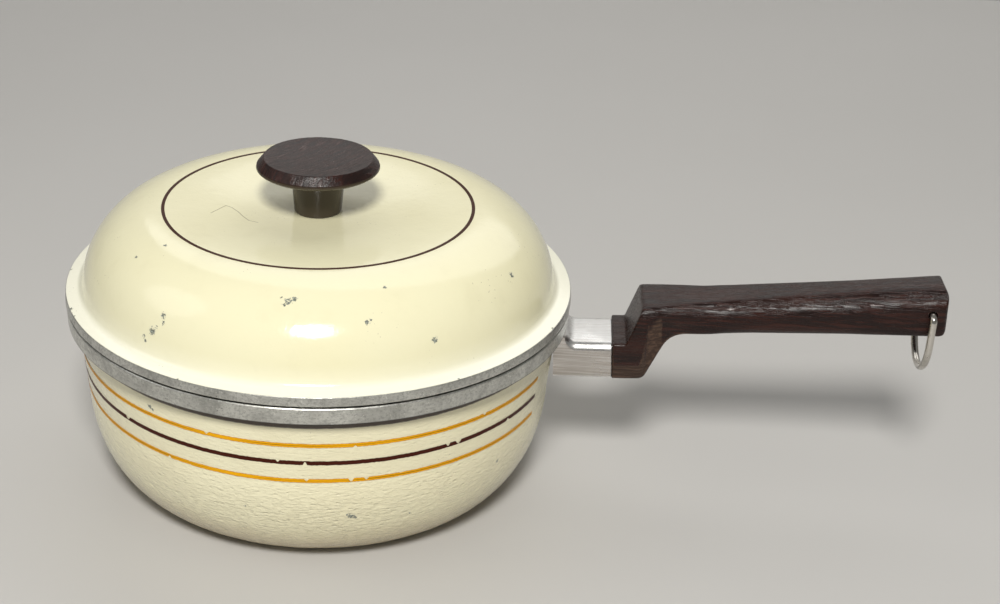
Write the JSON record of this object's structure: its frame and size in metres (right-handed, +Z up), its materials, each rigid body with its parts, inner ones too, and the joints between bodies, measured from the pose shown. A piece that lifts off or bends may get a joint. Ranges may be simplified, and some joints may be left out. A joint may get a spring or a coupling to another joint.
{
  "type": "covered saucepan",
  "caption": "Covered saucepan: enamelled cast aluminium bowl and dished dome lid, dark phenolic disc knob and long flaring handle with a hanging ring.",
  "frame": {"origin": "centre of the flat base, on the pan's axis, in the plane that the pan stands on", "axes": "+Z up along the pan's axis, +X towards the handle's end"},
  "size_m": [0.413, 0.2434, 0.1598],
  "materials": {
    "cast_aluminium": "worn satin, turned",
    "lid_aluminium": "worn satin, turned",
    "body_enamel": "semi-gloss, lightly pitted",
    "lid_enamel": "gloss",
    "orange_paint": "gloss",
    "brown_paint": "gloss",
    "polished_bracket": "polished",
    "phenolic": "moulded wood grain, satin gloss",
    "screw_steel": "zinc plated",
    "ring_steel": "nickel plated wire",
    "insert_brass": "plain"
  },
  "bodies": {
    "pan": {"pan_body": "cast_aluminium", "pan_enamel": "body_enamel", "stripe_upper": "orange_paint", "stripe_middle": "brown_paint", "stripe_lower": "orange_paint", "handle_bracket": "polished_bracket", "handle": "phenolic", "handle_washer": "screw_steel", "handle_screw": "screw_steel"},
    "lid": {"lid_body": "lid_aluminium", "lid_enamel": "lid_enamel", "lid_line": "brown_paint", "knob": "phenolic", "knob_insert": "insert_brass", "knob_washer": "screw_steel", "knob_screw": "screw_steel"},
    "ring": {"hanging_ring": "ring_steel"}
  },
  "joints": [
    {"name": "lid_lift", "type": "slide", "parent": "pan", "child": "lid", "axis": [0, 0, 1], "range_m": [0, 0.14]},
    {"name": "ring_swing", "type": "hinge", "parent": "pan", "child": "ring", "pos_m": [0.28445, 0, 0.10259], "axis": [0, 1, 0], "range_deg": [-240, 55]}
  ]
}
